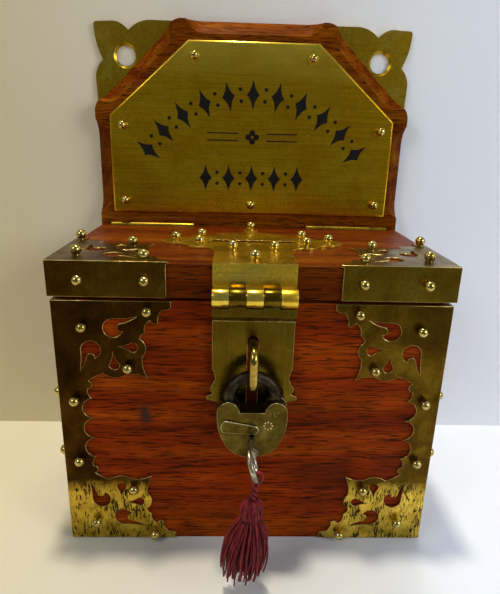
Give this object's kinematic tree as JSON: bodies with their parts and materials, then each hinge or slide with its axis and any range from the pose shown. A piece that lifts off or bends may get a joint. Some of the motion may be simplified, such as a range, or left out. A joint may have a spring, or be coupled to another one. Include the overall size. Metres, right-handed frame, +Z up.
{
  "type": "donation box",
  "caption": "Oak wall donation box with pierced brass mounts, a tall backboard with a bare plaque, a slotted lid, and a hasp closed by a padlock with its key and tassel.",
  "frame": {"origin": "centre of the underside, midway between the front brass and the back of the backboard", "axes": "+Z up, +Y towards the wall, +X to the right of someone facing the box"},
  "size_m": [0.2084, 0.1694, 0.2867],
  "materials": {
    "oak": "varnished red-brown oak with open dark grain",
    "aged_brass": "old lacquered brass, dulled and darkened",
    "bright_brass": "rubbed bright brass",
    "padlock_brass": "satin brass with handling wear",
    "dark_steel": "dark worn steel",
    "key_metal": "worn nickel-plated steel",
    "crimson_silk": "twisted silk thread"
  },
  "bodies": {
    "case": {"backboard": "oak", "plaque": "bright_brass", "plaque_nails": "bright_brass", "hanging_plate_left": "aged_brass", "hanging_plate_right": "aged_brass", "hanging_plate_screws": "aged_brass", "case_front": "oak", "case_left_side": "oak", "case_right_side": "oak", "case_bottom": "oak", "case_mount_left": "aged_brass", "case_mount_right": "aged_brass", "case_mount_nails": "bright_brass", "hasp_staple": "bright_brass", "staple_back_plate": "aged_brass", "hinge_board_leaf_left": "aged_brass", "hinge_board_leaf_right": "aged_brass", "hinge_board_screws": "aged_brass", "hinge_pin_left": "dark_steel", "hinge_pin_right": "dark_steel"},
    "lid": {"lid_board": "oak", "lid_mount_left": "aged_brass", "lid_mount_right": "aged_brass", "lid_mount_nails": "bright_brass", "slot_strap": "aged_brass", "strap_nails": "bright_brass", "hinge_lid_leaf_left": "aged_brass", "hinge_lid_leaf_right": "aged_brass", "hinge_lid_screws": "aged_brass", "hasp_pin": "aged_brass"},
    "hasp": {"hasp_plate": "aged_brass"},
    "shackle": {"shackle": "dark_steel"},
    "padlock": {"padlock_body": "padlock_brass", "shackle_rivet": "padlock_brass", "cover_rivet": "padlock_brass"},
    "cover": {"keyhole_cover": "padlock_brass"},
    "key": {"key": "key_metal"},
    "tassel": {"tassel_cord": "crimson_silk", "tassel_head": "crimson_silk", "tassel_skirt": "crimson_silk"}
  },
  "joints": [
    {"name": "lid_hinge", "type": "hinge", "parent": "case", "child": "lid", "pos_m": [0, 0.04655, 0.1608], "axis": [-1, 0, 0], "range_deg": [0, 52]},
    {"name": "hasp_hinge", "type": "hinge", "parent": "lid", "child": "hasp", "pos_m": [0, -0.0661, 0.1465], "axis": [-1, 0, 0], "range_deg": [-38, 0]},
    {"name": "shackle_swing", "type": "hinge", "parent": "case", "child": "shackle", "pos_m": [0, -0.072, 0.103], "axis": [0, 1, 0], "range_deg": [-20, 20]},
    {"name": "padlock_open", "type": "hinge", "parent": "shackle", "child": "padlock", "pos_m": [0.0116, -0.072, 0.09], "axis": [0, -1, 0], "range_deg": [0, 45]},
    {"name": "cover_swing", "type": "hinge", "parent": "padlock", "child": "cover", "pos_m": [0.001, -0.077, 0.0818], "axis": [0, 1, 0], "range_deg": [-32, 60]},
    {"name": "key_turn", "type": "hinge", "parent": "padlock", "child": "key", "pos_m": [0, -0.077, 0.0759], "axis": [0, 1, 0], "range_deg": [0, 90]},
    {"name": "tassel_swing", "type": "hinge", "parent": "key", "child": "tassel", "pos_m": [0.00212, -0.09675, 0.06897], "axis": [0, 1, 0], "range_deg": [-90, 0]}
  ],
  "couplings": [
    {"joint": "hasp_hinge", "follows": "lid_hinge", "ratio": -0.72},
    {"joint": "tassel_swing", "follows": "key_turn", "ratio": -1}
  ]
}
